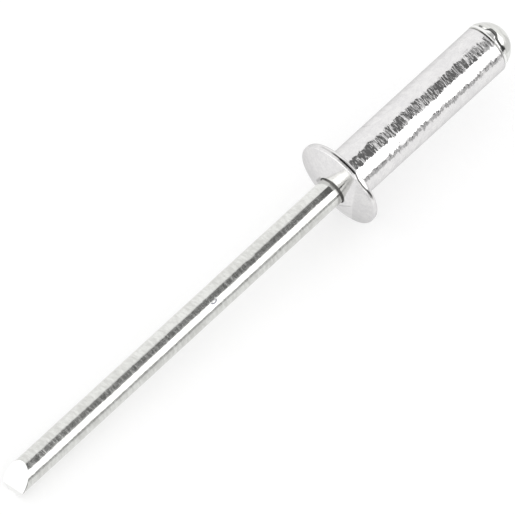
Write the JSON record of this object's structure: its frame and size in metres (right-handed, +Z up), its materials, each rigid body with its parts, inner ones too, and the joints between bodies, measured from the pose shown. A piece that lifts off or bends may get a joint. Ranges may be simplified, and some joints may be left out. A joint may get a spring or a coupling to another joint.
{
  "type": "blind rivet",
  "caption": "Open-end blind rivet, not yet set: an aluminium sleeve with a domed flange, threaded on a steel mandrel with a domed head and a long pulling stem.",
  "frame": {"origin": "where the rivet's axis crosses the plane of the flange's seat", "axes": "+X runs the length of the rivet to the mandrel's head, +Z is up off the table that the rivet lies on, and the axis rises 4.16 degrees towards +X because the rivet rests on its rim and on the end of its stem"},
  "size_m": [0.0419, 0.0058, 0.0058],
  "materials": {
    "body": "bare aluminium, tumbled to a soft satin after cold heading, with fine marks across the sleeve",
    "mandrel": "drawn steel wire, bright zinc plating, smooth and fairly glossy"
  },
  "bodies": {
    "root": {"rivet_body": "body", "mandrel": "mandrel"}
  },
  "joints": []
}
